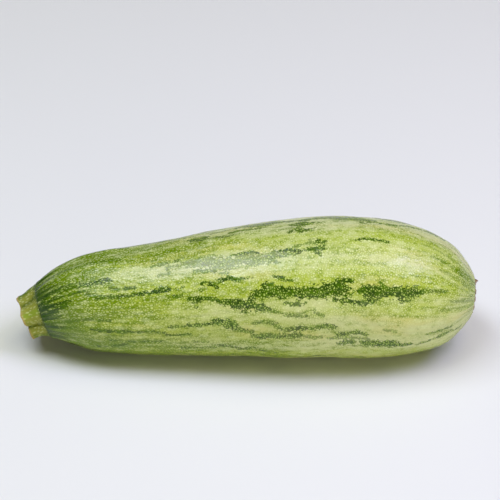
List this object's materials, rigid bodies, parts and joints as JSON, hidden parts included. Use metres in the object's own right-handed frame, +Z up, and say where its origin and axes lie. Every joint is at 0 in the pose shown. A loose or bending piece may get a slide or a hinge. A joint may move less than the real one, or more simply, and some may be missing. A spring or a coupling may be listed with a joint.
{
  "type": "courgette",
  "caption": "Whole pale green striped courgette lying on its side, thicker towards the blossom end, with a short ridged cut stem and a dry blossom scar.",
  "frame": {"origin": "middle of the bounding box's underside, on the surface that the fruit lies on", "axes": "+X along the fruit from the cut stem to the blossom end, +Y across it, +Z up"},
  "size_m": [0.2012, 0.062, 0.0612],
  "materials": {
    "skin": "waxy, softly glossy skin, pale yellow-green with dark green ragged stripes",
    "stem": "matt, fibrous, olive green, dry and brown at the cut",
    "scar": "dry, corky and brown"
  },
  "bodies": {
    "root": {"fruit": "skin", "stem": "stem", "blossom_scar": "scar"}
  },
  "joints": []
}
